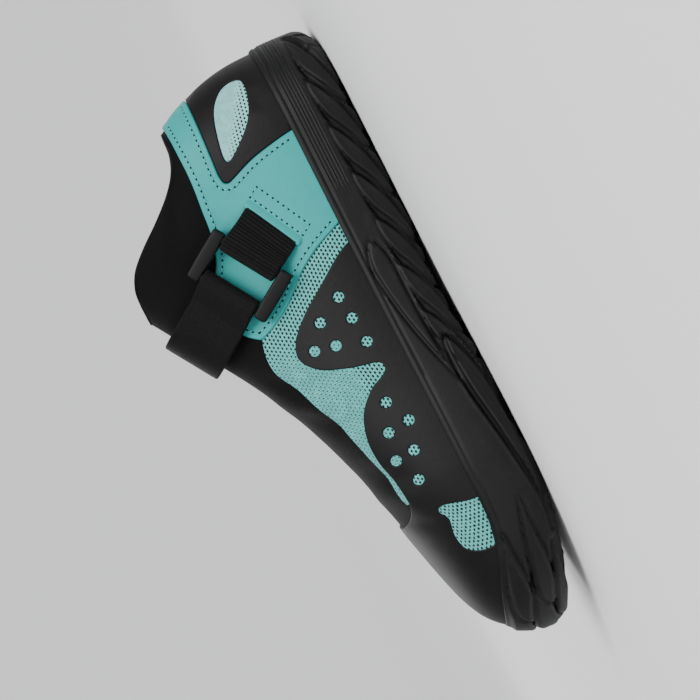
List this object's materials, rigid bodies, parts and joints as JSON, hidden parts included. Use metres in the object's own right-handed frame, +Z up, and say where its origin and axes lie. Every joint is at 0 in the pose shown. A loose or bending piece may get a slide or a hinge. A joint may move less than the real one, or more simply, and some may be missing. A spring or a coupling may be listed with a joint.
{
  "type": "water shoe, left foot",
  "caption": "Soft water shoe with a rubber cup sole, a hollow bootie upper, mint overlays and a buckled instep strap.",
  "frame": {"origin": "the heel's resting spot, on the floor plane that the sole stands on", "axes": "+X from the heel to the toe, +Y to the lateral side, +Z up"},
  "size_m": [0.2669, 0.0976, 0.113],
  "materials": {
    "rubber_black": "satin moulded rubber",
    "foam_grey": "matt lined foam",
    "neoprene_black": "matt neoprene",
    "synthetic_mint": "smooth matt synthetic",
    "mesh_mint": "open knit mesh",
    "film_black": "smooth satin film",
    "webbing_black": "woven tape",
    "plastic_black": "satin moulded plastic"
  },
  "bodies": {
    "root": {"sole": "rubber_black", "insole": "foam_grey", "upper": "neoprene_black", "quarter_wrap": "synthetic_mint", "heel_counter": "film_black", "counter_mesh_lateral": "mesh_mint", "counter_mesh_medial": "mesh_mint", "toe_film": "film_black", "vamp_mesh_lateral": "mesh_mint", "vamp_mesh_medial": "mesh_mint", "toe_mesh_lateral": "mesh_mint", "toe_mesh_medial": "mesh_mint", "webbing_loop": "webbing_black", "strap": "webbing_black", "buckle": "plastic_black"}
  },
  "joints": []
}
